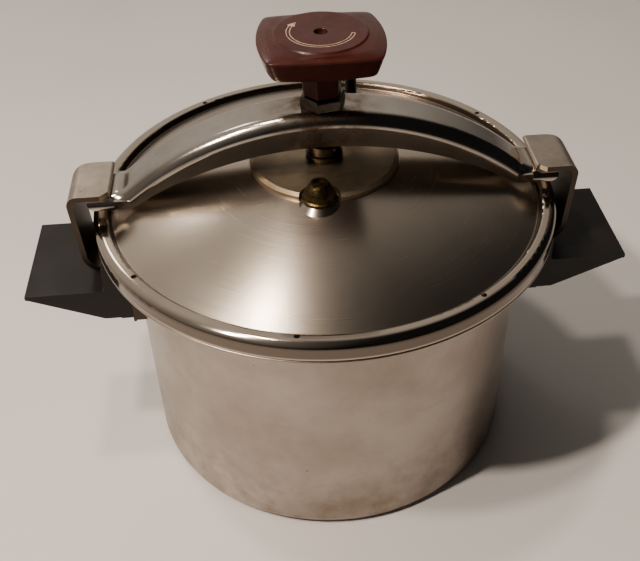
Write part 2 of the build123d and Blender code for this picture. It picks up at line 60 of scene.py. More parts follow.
# ------------------------------------------------------------------ colour and nodes
def linear(code):
    """An sRGB hex colour as linear RGBA."""
    srgb = np.array([int(code[i:i + 2], 16) / 255 for i in (1, 3, 5)])
    rgb = np.where(srgb <= 0.04045, srgb / 12.92, ((srgb + 0.055) / 1.055) ** 2.4)
    return (*(float(c) for c in rgb), 1.0)


def add(tree, kind, inputs=None, output=None, **settings):
    """Adds a node with its settings, sets or links its inputs by name or number, and returns an output."""
    made = tree.nodes.new(kind)
    for name, value in settings.items():
        setattr(made, name, value)
    for key, value in (inputs or {}).items():
        if isinstance(key, int):
            socket = made.inputs[key]
        else:
            socket = next(s for s in made.inputs if s.name == key and s.enabled)
        if isinstance(value, bpy.types.NodeSocket):
            tree.links.new(value, socket)
        else:
            socket.default_value = value
    live = [s for s in made.outputs if s.enabled and output in (None, s.name)]
    return live[0] if live else None


def new_finish(name, **constants):
    """A material with one Principled shader, its constant sockets set: (material, tree, shader)."""
    material = bpy.data.materials.new(name)
    material.use_nodes = True
    tree = material.node_tree
    shader = next(n for n in tree.nodes if n.type == "BSDF_PRINCIPLED")
    for socket, value in constants.items():
        shader.inputs[socket.replace("_", " ")].default_value = value
    return material, tree, shader


def place(tree):
    """Where a point is on the object, in metres."""
    return add(tree, "ShaderNodeTexCoord", output="Object")


def mottle(tree, at, size_mm, low, high, detail=4.0, seed=0.0):
    """Soft random patches about size_mm across, 0 below low and 1 above high."""
    spots = add(
        tree, "ShaderNodeTexNoise",
        {"Vector": at, "W": seed, "Scale": 1 / (size_mm * MM), "Detail": detail, "Roughness": 0.6},
        noise_dimensions="4D",
    )
    return add(tree, "ShaderNodeMapRange", {"Value": spots, "From Min": low, "From Max": high})


def specks(tree, at, spacing_mm, size_mm):
    """Small round marks of up to size_mm, on average spacing_mm apart: 1 in a mark, 0 between."""
    near = add(
        tree, "ShaderNodeTexVoronoi", {"Vector": at, "Scale": 1 / (spacing_mm * MM)}, output="Distance"
    )
    reach = size_mm / spacing_mm / 2
    return add(
        tree, "ShaderNodeMapRange",
        {"Value": near, "From Min": reach, "From Max": reach * 0.55},
    )


def marked(tree, at, colour, spacing_mm, size_mm, patch, stain):
    """The colour with small stained marks in some patches of it, and where the marks are.

    The patch is its size in millimetres, its low and high limits and its seed.
    """
    across_mm, low, high, seed = patch
    marks = specks(tree, at, spacing_mm, size_mm)
    few = mottle(tree, at, across_mm, low, high, seed=seed)
    marks = add(tree, "ShaderNodeMath", {0: marks, 1: few}, operation="MULTIPLY")
    return blend(tree, marks, colour, linear(stain)), marks


def ring_grain(tree, at, length_mm, pitch_mm, radius_mm, seed=0.0):
    """Fine lines round the screw's axis, pitch_mm apart and about length_mm long at radius_mm.

    The direction from the axis picks the place along a line, and the distance from the axis plus the
    height picks the line, so there is no seam.
    """
    flat = add(tree, "ShaderNodeVectorMath", {0: at, 1: (1, 1, 0)}, operation="MULTIPLY")
    away = add(tree, "ShaderNodeVectorMath", {0: flat}, operation="LENGTH", output="Value")
    along = add(tree, "ShaderNodeVectorMath", {0: flat}, operation="NORMALIZE")
    along = add(
        tree, "ShaderNodeVectorMath", {0: along, "Scale": radius_mm / length_mm}, operation="SCALE"
    )
    height = add(tree, "ShaderNodeSeparateXYZ", {0: at}, output="Z")
    line = add(tree, "ShaderNodeMath", {0: away, 1: height}, operation="ADD")
    line = add(tree, "ShaderNodeMath", {0: line, 1: 1 / (pitch_mm * MM)}, operation="MULTIPLY")
    across = add(tree, "ShaderNodeCombineXYZ", {"X": 0.0, "Y": 0.0, "Z": line})
    where = add(tree, "ShaderNodeVectorMath", {0: along, 1: across}, operation="ADD")
    return add(
        tree, "ShaderNodeTexNoise",
        {"Vector": where, "W": seed, "Scale": 1.0, "Detail": 3.0, "Roughness": 0.65},
        noise_dimensions="4D",
    )


def drawn_grain(tree, at, length_mm, pitch_mm, turn=0.0, seed=0.0):
    """Straight fine lines, pitch_mm apart and about length_mm long, along X before the turn."""
    scale = (1 / (length_mm * MM), 1 / (pitch_mm * MM), 1 / (pitch_mm * MM))
    where = add(
        tree, "ShaderNodeMapping", {"Vector": at, "Rotation": (0, 0, turn), "Scale": scale},
    )
    return add(
        tree, "ShaderNodeTexNoise",
        {"Vector": where, "W": seed, "Scale": 1.0, "Detail": 3.0, "Roughness": 0.6},
        noise_dimensions="4D",
    )


def bump(tree, shader, height, depth_mm):
    """Joins a height pattern to the shader as relief depth_mm deep."""
    relief = add(tree, "ShaderNodeBump", {"Height": height, "Distance": depth_mm * MM, "Strength": 1.0})
    tree.links.new(relief, shader.inputs["Normal"])


def blend(tree, factor, first, second):
    """Two colours mixed by a factor."""
    return add(
        tree, "ShaderNodeMix", {"Factor": factor, "A": first, "B": second}, data_type="RGBA",
    )


def between(tree, value, low, high, soft):
    """1 where the value lies between low and high, fading to 0 over soft outside them."""
    up = add(tree, "ShaderNodeMapRange", {"Value": value, "From Min": low - soft, "From Max": low})
    down = add(tree, "ShaderNodeMapRange", {"Value": value, "From Min": high + soft, "From Max": high})
    return add(tree, "ShaderNodeMath", {0: up, 1: down}, operation="MULTIPLY")


def from_axis(tree, at):
    """Distance from the screw's axis."""
    flat = add(tree, "ShaderNodeVectorMath", {0: at, 1: (1, 1, 0)}, operation="MULTIPLY")
    return add(tree, "ShaderNodeVectorMath", {0: flat}, operation="LENGTH", output="Value")


def round_brushing(tree, shader):
    """Turns the shader's stretched highlights across the lines that a wheel leaves round the axis."""
    turned = add(tree, "ShaderNodeTangent", direction_type="RADIAL", axis="Z")
    tree.links.new(turned, shader.inputs["Tangent"])


# ------------------------------------------------------------------ finishes
def satin_drawn_steel():
    """Deep-drawn stainless steel, satin rubbed: pale and soft, with stains, pits and faint rub marks."""
    material, tree, shader = new_finish(
        "satin_drawn_steel", Metallic=1.0, Roughness=0.4, Anisotropic=0.4, Anisotropic_Rotation=0.25
    )
    at = place(tree)
    height = add(tree, "ShaderNodeSeparateXYZ", {0: at}, output="Z")
    cloud = mottle(tree, at, 60, 0.38, 0.64, detail=5)
    colour = blend(tree, cloud, linear("#b0a69c"), linear("#998d82"))
    # cooked-on film, strongest near the base
    low = add(tree, "ShaderNodeMapRange", {"Value": height, "From Min": 70 * MM, "From Max": 4 * MM})
    film = mottle(tree, at, 16, 0.42, 0.72, detail=6, seed=3)
    film = add(tree, "ShaderNodeMath", {0: film, 1: low}, operation="MULTIPLY")
    colour = blend(tree, film, colour, linear("#837363"))
    colour, pits = marked(tree, at, colour, 11, 1.5, (26, 0.5, 0.6, 7), "#6b5a4b")
    tree.links.new(colour, shader.inputs["Base Color"])
    lines = ring_grain(tree, at, 26, 0.5, 111)
    rough = add(
        tree, "ShaderNodeMapRange",
        {"Value": lines, "From Min": 0.2, "From Max": 0.8, "To Min": 0.30, "To Max": 0.43},
    )
    rough = add(tree, "ShaderNodeMath", {0: film, 1: 0.12, 2: rough}, operation="MULTIPLY_ADD")
    tree.links.new(rough, shader.inputs["Roughness"])
    # the faint line where the wall was drawn twice
    ridge = between(tree, height, 84.6 * MM, 84.9 * MM, 0.25 * MM)
    worn = mottle(tree, at, 70, 0.48, 0.56, seed=11)
    ridge = add(tree, "ShaderNodeMath", {0: ridge, 1: worn}, operation="MULTIPLY")
    relief = add(tree, "ShaderNodeMath", {0: ridge, 1: 6.0, 2: lines}, operation="MULTIPLY_ADD")
    relief = add(tree, "ShaderNodeMath", {0: pits, 1: -4.0, 2: relief}, operation="MULTIPLY_ADD")
    bump(tree, shader, relief, 0.012)
    round_brushing(tree, shader)
    return material


def wheel_brushed_lid_steel():
    """Stainless lid brushed on a turning wheel: satin shine that fans out, painted shade in the crease,
    polished bead.
    """
    material, tree, shader = new_finish(
        "wheel_brushed_lid_steel", Metallic=1.0, Roughness=0.25, Anisotropic=0.6, Anisotropic_Rotation=0.25
    )
    at = place(tree)
    away = from_axis(tree, at)
    cloud = mottle(tree, at, 80, 0.36, 0.66, detail=4, seed=2)
    colour = blend(tree, cloud, linear("#c4b7a8"), linear("#b3a596"))
    # painted shade: a dark ring painted into the crease between the dome and the bead
    crease = between(tree, away, 119.2 * MM, 120.4 * MM, 0.9 * MM)
    colour = blend(tree, crease, colour, linear("#4b3f35"))
    colour, _ = marked(tree, at, colour, 15, 1.0, (30, 0.52, 0.62, 5), "#5a4a3c")
    # painted dark reflection: the skirt is painted darker down to just above its lower edge, which keeps
    # the plain colour
    height = add(tree, "ShaderNodeSeparateXYZ", {0: at}, output="Z")
    skirt = between(tree, height, 154.8 * MM, 160.4 * MM, 1.2 * MM)
    outer = add(tree, "ShaderNodeMapRange", {"Value": away, "From Min": 122.6 * MM, "From Max": 124.0 * MM})
    skirt = add(tree, "ShaderNodeMath", {0: skirt, 1: outer}, operation="MULTIPLY")
    colour = blend(tree, skirt, colour, linear("#6b6259"))
    tree.links.new(colour, shader.inputs["Base Color"])
    lines = ring_grain(tree, at, 90, 0.45, 80, seed=1)
    coarse = ring_grain(tree, at, 70, 0.8, 80, seed=9)
    # rubbed most on the side of the dome away from the valve's right
    flank = add(
        tree, "ShaderNodeVectorMath", {0: at, 1: (-0.022, -0.062, 0.178)},
        operation="DISTANCE", output="Value",
    )
    worn = add(tree, "ShaderNodeMapRange", {"Value": flank, "From Min": 62 * MM, "From Max": 18 * MM})
    coarse = add(tree, "ShaderNodeMath", {0: coarse, 1: worn}, operation="MULTIPLY")
    rough = add(
        tree, "ShaderNodeMapRange",
        {"Value": lines, "From Min": 0.25, "From Max": 0.75, "To Min": 0.24, "To Max": 0.28},
    )
    bead = add(tree, "ShaderNodeMapRange", {"Value": away, "From Min": 120.6 * MM, "From Max": 121.6 * MM})
    rough = add(tree, "ShaderNodeMath", {0: bead, 1: -0.13, 2: rough}, operation="MULTIPLY_ADD")
    tree.links.new(rough, shader.inputs["Roughness"])
    relief = add(tree, "ShaderNodeMath", {0: coarse, 1: 4.0, 2: lines}, operation="MULTIPLY_ADD")
    bump(tree, shader, relief, 0.001)
    round_brushing(tree, shader)
    return material


def rubbed_plate_steel():
    """Stainless disc rubbed by years of cleaning: greyer, with fine scratches every way."""
    material, tree, shader = new_finish(
        "rubbed_plate_steel", Metallic=1.0, Roughness=0.4, Anisotropic=0.3, Anisotropic_Rotation=0.25
    )
    at = place(tree)
    cloud = mottle(tree, at, 22, 0.38, 0.66, detail=5, seed=1)
    colour = blend(tree, cloud, linear("#a08f77"), linear("#7d6e59"))
    tree.links.new(colour, shader.inputs["Base Color"])
    one = drawn_grain(tree, at, 18, 0.4, turn=radians(25))
    other = drawn_grain(tree, at, 14, 0.4, turn=radians(-62), seed=4)
    lines = add(tree, "ShaderNodeMath", {0: one, 1: other}, operation="ADD")
    rough = add(
        tree, "ShaderNodeMapRange",
        {"Value": lines, "From Min": 0.7, "From Max": 1.3, "To Min": 0.32, "To Max": 0.48},
    )
    tree.links.new(rough, shader.inputs["Roughness"])
    bump(tree, shader, lines, 0.008)
    round_brushing(tree, shader)
    return material


def polished_bar_steel():
    """Pressed stainless bar, polished along its length: clear reflections, heat-stained round the bush."""
    material, tree, shader = new_finish(
        "polished_bar_steel", Metallic=1.0, Roughness=0.14
    )
    at = place(tree)
    cloud = mottle(tree, at, 40, 0.36, 0.66, detail=5, seed=6)
    colour = blend(tree, cloud, linear("#bdb4aa"), linear("#a69b90"))
    away = from_axis(tree, at)
    burnt = add(tree, "ShaderNodeMapRange", {"Value": away, "From Min": 34 * MM, "From Max": 14 * MM})
    patch = mottle(tree, at, 9, 0.36, 0.6, detail=6, seed=8)
    burnt = add(tree, "ShaderNodeMath", {0: burnt, 1: patch}, operation="MULTIPLY")
    colour = blend(tree, burnt, colour, linear("#5f4c38"))
    colour, _ = marked(tree, at, colour, 19, 1.6, (40, 0.5, 0.58, 2), "#3d332b")
    tree.links.new(colour, shader.inputs["Base Color"])
    lines = drawn_grain(tree, at, 30, 0.5)
    rough = add(
        tree, "ShaderNodeMapRange",
        {"Value": lines, "From Min": 0.25, "From Max": 0.75, "To Min": 0.11, "To Max": 0.18},
    )
    rough = add(tree, "ShaderNodeMath", {0: burnt, 1: 0.2, 2: rough}, operation="MULTIPLY_ADD")
    tree.links.new(rough, shader.inputs["Roughness"])
    bump(tree, shader, lines, 0.002)
    return material


def rolled_strip_steel(name="rolled_strip_steel", light="#b3a79b", dark="#96897c", rough=0.38):
    """Cold-rolled stainless strip, hand-worn: grey and even, with short rub marks."""
    material, tree, shader = new_finish(name, Metallic=1.0, Roughness=rough)
    at = place(tree)
    cloud = mottle(tree, at, 18, 0.36, 0.66, detail=5, seed=5)
    colour = blend(tree, cloud, linear(light), linear(dark))
    colour, _ = marked(tree, at, colour, 12, 1.2, (25, 0.52, 0.6, 9), "#5b4e42")
    # dark faces turned along Y, the sheared edges, partly scale and partly painted dark reflection; painted
    # shade on the side towards the pot
    facing = add(tree, "ShaderNodeNewGeometry", output="Normal")
    sheared = add(
        tree, "ShaderNodeVectorMath", {0: facing, 1: (0, 1, 0)}, operation="DOT_PRODUCT", output="Value"
    )
    sheared = add(tree, "ShaderNodeMath", {0: sheared}, operation="ABSOLUTE")
    sheared = add(tree, "ShaderNodeMapRange", {"Value": sheared, "From Min": 0.86, "From Max": 0.97})
    outward = add(tree, "ShaderNodeVectorMath", {0: at, 1: (1, 0, 0)}, operation="MULTIPLY")
    outward = add(tree, "ShaderNodeVectorMath", {0: outward}, operation="NORMALIZE")
    # painted shade: faces turned towards the pot, below the tongue's level, are painted dark
    inside_painted_shade = add(
        tree, "ShaderNodeVectorMath", {0: facing, 1: outward}, operation="DOT_PRODUCT", output="Value"
    )
    inside_painted_shade = add(tree, "ShaderNodeMapRange", {"Value": inside_painted_shade, "From Min": -0.2, "From Max": -0.7})
    height = add(tree, "ShaderNodeSeparateXYZ", {0: at}, output="Z")
    below = add(
        tree, "ShaderNodeMapRange", {"Value": height, "From Min": 174.5 * MM, "From Max": 174.0 * MM}
    )
    inside_painted_shade = add(tree, "ShaderNodeMath", {0: inside_painted_shade, 1: below}, operation="MULTIPLY")
    scale_and_painted_shade = add(tree, "ShaderNodeMath", {0: sheared, 1: inside_painted_shade}, operation="MAXIMUM")
    colour = blend(tree, scale_and_painted_shade, colour, linear("#463d35"))
    tree.links.new(colour, shader.inputs["Base Color"])
    lines = drawn_grain(tree, at, 12, 0.4, turn=radians(90))
    uneven = add(
        tree, "ShaderNodeMapRange",
        {
            "Value": lines, "From Min": 0.25, "From Max": 0.75,
            "To Min": rough - 0.07, "To Max": rough + 0.08,
        },
    )
    tree.links.new(uneven, shader.inputs["Roughness"])
    bump(tree, shader, lines, 0.006)
    return material


def turned_steel(name="turned_steel", light="#b0a8a0", dark="#857b72", rough=0.28, pitch_mm=0.35):
    """Steel turned on a lathe: fine rings round its axis, oily and a little dark."""
    material, tree, shader = new_finish(name, Metallic=1.0, Roughness=rough)
    at = place(tree)
    cloud = mottle(tree, at, 7, 0.36, 0.66, detail=5)
    colour = blend(tree, cloud, linear(light), linear(dark))
    tree.links.new(colour, shader.inputs["Base Color"])
    lines = ring_grain(tree, at, 12, pitch_mm, 8)
    uneven = add(
        tree, "ShaderNodeMapRange",
        {"Value": lines, "From Min": 0.25, "From Max": 0.75, "To Min": rough - 0.07, "To Max": rough + 0.1},
    )
    tree.links.new(uneven, shader.inputs["Roughness"])
    bump(tree, shader, lines, 0.008)
    return material


def aged_brass():
    """Turned brass gone brown with heat and steam: dark film, gold where it is rubbed."""
    material, tree, shader = new_finish("aged_brass", Metallic=1.0, Roughness=0.34)
    at = place(tree)
    worn = mottle(tree, at, 5, 0.4, 0.62, detail=6)
    colour = blend(tree, worn, linear("#6b5a36"), linear("#3a2f1d"))
    grime = mottle(tree, at, 2.2, 0.5, 0.68, detail=5, seed=4)
    colour = blend(tree, grime, colour, linear("#16110c"))
    tree.links.new(colour, shader.inputs["Base Color"])
    uneven = add(
        tree, "ShaderNodeMapRange", {"Value": worn, "To Min": 0.26, "To Max": 0.46}
    )
    tree.links.new(uneven, shader.inputs["Roughness"])
    bump(tree, shader, grime, 0.03)
    return material


def black_bakelite():
    """Moulded phenolic, near black with a brown cast: low sheen, greasy patches and fine dust."""
    material, tree, shader = new_finish("black_bakelite", Roughness=0.42, IOR=1.5, Specular_IOR_Level=0.22)
    at = place(tree)
    cloud = mottle(tree, at, 24, 0.36, 0.66, detail=5)
    colour = blend(tree, cloud, linear("#100d0b"), linear("#171310"))
    colour, _ = marked(tree, at, colour, 5, 0.5, (16, 0.5, 0.62, 3), "#453d37")
    tree.links.new(colour, shader.inputs["Base Color"])
    uneven = add(tree, "ShaderNodeMapRange", {"Value": cloud, "To Min": 0.36, "To Max": 0.5})
    tree.links.new(uneven, shader.inputs["Roughness"])
    grain = mottle(tree, at, 0.8, 0.2, 0.8, detail=2, seed=8)
    bump(tree, shader, grain, 0.012)
    return material


def maroon_bakelite():
    """Moulded phenolic, maroon brown with a faint marbled flow: smooth and glossy, dulled on top."""
    material, tree, shader = new_finish(
        "maroon_bakelite", Roughness=0.26, IOR=1.5, Specular_IOR_Level=0.2,
        Coat_Weight=0.05, Coat_Roughness=0.12,
    )
    at = place(tree)
    swirl = add(
        tree, "ShaderNodeTexNoise",
        {"Vector": at, "Scale": 1 / (14 * MM), "Detail": 5.0, "Roughness": 0.55, "Distortion": 0.9},
    )
    flow = add(tree, "ShaderNodeMapRange", {"Value": swirl, "From Min": 0.38, "From Max": 0.62})
    colour = blend(tree, flow, linear("#33140f"), linear("#3b1a14"))
    tree.links.new(colour, shader.inputs["Base Color"])
    height = add(tree, "ShaderNodeSeparateXYZ", {0: at}, output="Z")
    handled = add(tree, "ShaderNodeMapRange", {"Value": height, "From Min": 252 * MM, "From Max": 256 * MM})
    rubbed = mottle(tree, at, 9, 0.35, 0.65, detail=5, seed=2)
    uneven = add(tree, "ShaderNodeMath", {0: handled, 1: rubbed}, operation="MULTIPLY")
    uneven = add(tree, "ShaderNodeMapRange", {"Value": uneven, "To Min": 0.24, "To Max": 0.42})
    tree.links.new(uneven, shader.inputs["Roughness"])
    peel = mottle(tree, at, 3, 0.2, 0.8, detail=2, seed=5)
    bump(tree, shader, peel, 0.02)
    return material


def cream_paint_fill():
    """Paint wiped into engraved lines: dull, pale, worn thin in places."""
    material, tree, shader = new_finish("cream_paint_fill", Roughness=0.6)
    at = place(tree)
    worn = mottle(tree, at, 2.5, 0.42, 0.66, detail=6)
    colour = blend(tree, worn, linear("#b49d86"), linear("#8a6c58"))
    tree.links.new(colour, shader.inputs["Base Color"])
    bump(tree, shader, worn, 0.02)
    return material


def moulded_rubber(name, light, dark):
    """Moulded seal rubber: matt, with a dusty bloom."""
    material, tree, shader = new_finish(name, Roughness=0.72)
    at = place(tree)
    bloom = mottle(tree, at, 6, 0.36, 0.68, detail=6)
    colour = blend(tree, bloom, linear(light), linear(dark))
    tree.links.new(colour, shader.inputs["Base Color"])
    uneven = add(tree, "ShaderNodeMapRange", {"Value": bloom, "To Min": 0.62, "To Max": 0.85})
    tree.links.new(uneven, shader.inputs["Roughness"])
    grain = mottle(tree, at, 0.5, 0.2, 0.8, detail=2, seed=3)
    bump(tree, shader, grain, 0.02)
    return material


def table_top():
    """Pale painted table: matt, very faintly uneven."""
    material, tree, shader = new_finish("table_top", Roughness=0.55)
    at = place(tree)
    cloud = mottle(tree, at, 300, 0.3, 0.7, detail=2)
    colour = blend(tree, cloud, linear("#d6d1cd"), linear("#cfcac6"))
    tree.links.new(colour, shader.inputs["Base Color"])
    return material


# ------------------------------------------------------------------ surfaces
def rounded(corners, radii, steps=6):
    """A line of points through the corners, each corner rounded to its radius.

    The round starts and ends radius x tan(half the turn) from the corner and follows a circle between.
    """
    corners = np.array(corners, float)
    line = [corners[:1]]
    for before, here, after, radius in zip(corners, corners[1:], corners[2:], radii):
        inward = (before - here) / np.linalg.norm(before - here)
        outward = (after - here) / np.linalg.norm(after - here)
        half = np.arccos(np.clip(-inward @ outward, -1, 1)) / 2
        reach = radius * np.tan(half)
        centre = here + (inward + outward) / np.linalg.norm(inward + outward) * radius / np.cos(half)
        first = here + inward * reach - centre
        last = here + outward * reach - centre
        share = np.linspace(0, 1, steps + 1)[:, None]
        arc = (np.sin((1 - share) * 2 * half) * first + np.sin(share * 2 * half) * last) / np.sin(2 * half)
        line.append(centre + arc)
    line.append(corners[-1:])
    return np.concatenate(line)


def filled_in(line, step):
    """The same line with extra points, so that no two are more than step apart."""
    gaps = np.linalg.norm(np.diff(line, axis=0), axis=1)
    length = np.concatenate([[0], np.cumsum(gaps)])
    extra = [
        np.linspace(a, b, int(np.ceil((b - a) / step)) + 1)[1:] for a, b in zip(length, length[1:])
    ]
    at = np.concatenate([[0.0], *extra])
    return np.stack([np.interp(at, length, line[:, i]) for i in range(line.shape[1])], axis=1)


def surface(name, points, finish, body):
    """A smooth mesh over a grid of points (rows, places in a row, xyz) in millimetres.

    Each row is a closed ring. Four neighbouring points make one face. Points that fall together, as at a
    pole, are merged.
    """
    rows, across = points.shape[:2]
    number = np.arange(rows * across).reshape(rows, across)
    below, above = number[:-1], number[1:]
    faces = np.stack(
        [below, np.roll(below, -1, axis=1), np.roll(above, -1, axis=1), above], axis=-1
    ).reshape(-1, 4)
    mesh = bpy.data.meshes.new(name)
    mesh.from_pydata(points.reshape(-1, 3) * MM, [], faces)
    tidy = bmesh.new()
    tidy.from_mesh(mesh)
    bmesh.ops.remove_doubles(tidy, verts=tidy.verts, dist=1e-6)
    bmesh.ops.dissolve_degenerate(tidy, edges=tidy.edges, dist=1e-7)
    bmesh.ops.recalc_face_normals(tidy, faces=tidy.faces)
    tidy.to_mesh(mesh)
    tidy.free()
    mesh.shade_smooth()
    mesh.set_sharp_from_angle(angle=radians(40))
    mesh.materials.append(finish)
    made = bpy.data.objects.new(name, mesh)
    bpy.context.scene.collection.objects.link(made)
    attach(made, body)
    return made


def turned(line, steps, shape):
    """Points of a line of (radius, height) turned about the screw's axis; shape(angle, radius, height)
    gives the radius in each direction, because it isn't round everywhere."""
    angle = np.arange(steps) * tau / steps
    radius = np.repeat(line[:, :1], steps, axis=1)
    height = np.repeat(line[:, 1:], steps, axis=1)
    radius = shape(angle[None, :], radius, height)
    return np.stack([radius * np.cos(angle), radius * np.sin(angle), height], axis=-1)


def dress(finish, *names):
    """Gives CAD nodes a finish in place of their plain one."""
    for name in names:
        slots = NODES[name].data.materials
        for i in range(len(slots)):
            slots[i] = finish


def box_mm(name):
    """Lowest and highest corner of a CAD node, in millimetres."""
    low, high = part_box(name)
    return np.array(low) / MM, np.array(high) / MM


def eased(value, low, high):
    """0 below low, 1 above high and a smooth S between."""
    t = np.clip((value - low) / (high - low), 0, 1)
    return t * t * (3 - 2 * t)


# ------------------------------------------------------------------ sizes and colours
KNOB_LOW, KNOB_HIGH = box_mm("knob_body")


class KnobSizes(bpy.types.PropertyGroup):
    """Sizes of the knob, in metres."""

    length: bpy.props.FloatProperty(
        name="Length", description="Across the head along the bar", unit="LENGTH",
        default=float(KNOB_HIGH[0] - KNOB_LOW[0]) * MM,
    )
    width: bpy.props.FloatProperty(
        name="Width", description="Across the head over the bar", unit="LENGTH",
        default=float(KNOB_HIGH[1] - KNOB_LOW[1]) * MM,
    )
    plateau: bpy.props.FloatProperty(
        name="Plateau", description="Radius of the raised round top", unit="LENGTH", default=0.0238,
    )
    arrow: bpy.props.FloatProperty(
        name="Arrow", description="Radius of the turning arrow", unit="LENGTH", default=0.0165,
    )


class ScrewSizes(bpy.types.PropertyGroup):
    """Sizes of the clamp screw, in metres."""

    lead: bpy.props.FloatProperty(
        name="Lead", description="How far one turn moves the bar", unit="LENGTH", default=0.002,
    )
    depth: bpy.props.FloatProperty(
        name="Depth", description="Depth of the thread", unit="LENGTH", default=0.0010,
    )


class StageSettings(bpy.types.PropertyGroup):
    """Camera and light."""

    eye: bpy.props.FloatVectorProperty(
        name="Camera", description="Where the camera stands", subtype="XYZ", unit="LENGTH",
        default=(-0.030302, -0.427259, 0.457606),
    )
    azimuth: bpy.props.FloatProperty(
        name="Azimuth", description="How far round the camera looks from", subtype="ANGLE",
        default=radians(-5.2626),
    )
    elevation: bpy.props.FloatProperty(
        name="Elevation", description="How steeply the camera looks down", subtype="ANGLE",
        default=radians(40.3248),
    )
    roll: bpy.props.FloatProperty(
        name="Roll", description="Tilt of the picture", subtype="ANGLE", default=radians(-0.7669),
    )
    lamp_colour: bpy.props.FloatVectorProperty(
        name="Lamp", description="Colour of the ceiling lamp", subtype="COLOR",
        default=linear("#fff1e2")[:3],
    )
    window_colour: bpy.props.FloatVectorProperty(
        name="Window", description="Colour of the window light", subtype="COLOR",
        default=linear("#fff6ec")[:3],
    )


# ------------------------------------------------------------------ operators
class CANNER_OT_pot(bpy.types.Operator):
    """Finish the pot, its brackets and hooks"""

    bl_idname = "canner.pot"
    bl_label = "Pot and hooks"

    def execute(self, context):
        dress(satin_drawn_steel(), "pot_body")
        dress(rolled_strip_steel(), "left_hook", "right_hook")
        plate = rolled_strip_steel("bracket_plate_steel", "#a39a92", "#877d73", 0.42)
        dress(plate, "left_bracket", "right_bracket")
        return {"FINISHED"}


class CANNER_OT_lid(bpy.types.Operator):
    """Finish the lid, its gasket and the centre plate"""

    bl_idname = "canner.lid"
    bl_label = "Lid"

    def execute(self, context):
        dress(wheel_brushed_lid_steel(), "lid_shell")
        dress(rubbed_plate_steel(), "centre_plate")
        dress(moulded_rubber("grey_gasket_rubber", "#3b3a38", "#565350"), "lid_gasket")
        return {"FINISHED"}


class CANNER_OT_bar(bpy.types.Operator):
    """Finish the clamp bar"""

    bl_idname = "canner.bar"
    bl_label = "Clamp bar"

    def execute(self, context):
        dress(polished_bar_steel(), "yoke_bar")
        return {"FINISHED"}


class CANNER_OT_screw(bpy.types.Operator):
    """Build the clamp screw's thread and finish the bush and foot"""

    bl_idname = "canner.screw"
    bl_label = "Clamp screw"

    def execute(self, context):
        sizes = context.scene.canner_screw
        steel = turned_steel()
        low, high = box_mm("spindle")
        outer = high[0]
        lead = sizes.lead / MM
        depth = sizes.depth / MM
        tip_top = low[2] + 7.0
        line = rounded(
            [(0, low[2]), (5.0, low[2]), (5.0, 189.3), (3.6, 189.3), (3.6, 191.9), (5.0, 191.9),
             (5.0, tip_top), (outer, tip_top), (outer, high[2]), (0, high[2])],
            [0.6, 0.3, 0.3, 0.3, 0.3, 0.3, 0.6, 0.6],
        )
        line = filled_in(line, 0.25)

        def threaded(angle, radius, height):
            """The radius less a groove that climbs one lead each turn; its sides slope 15 degrees."""
            phase = np.mod((height - tip_top) / lead - angle / tau, 1.0)
            groove = np.clip((0.28 - np.abs(phase - 0.5)) / 0.1, 0, 1)
            starts = eased(height, tip_top + 0.6, tip_top + 2.0)
            ends = eased(height, high[2] - 2, high[2] - 1)
            cut = depth * groove * starts * (1 - ends) * (radius > outer - 0.3)
            return radius - cut

        screw = surface("clamp_screw", turned(line, 72, threaded), steel, "screw")
        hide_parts("spindle")
        # painted shade: the bush's steel is given dark colours to stand for the shade under the bar
        dress(turned_steel("bush_steel_painted_shade", "#736a62", "#3e3731", 0.34), "screw_bush")
        # painted shade: the foot's steel is given dark colours to stand for the shade under the bar
        dress(turned_steel("foot_steel_painted_shade", "#6b6259", "#3f3831", 0.36, 0.5), "pressure_foot")
        dress(turned_steel("pin_steel", "#a9a5a0", "#8a857f", 0.22), "foot_pin")
        return {"FINISHED"}


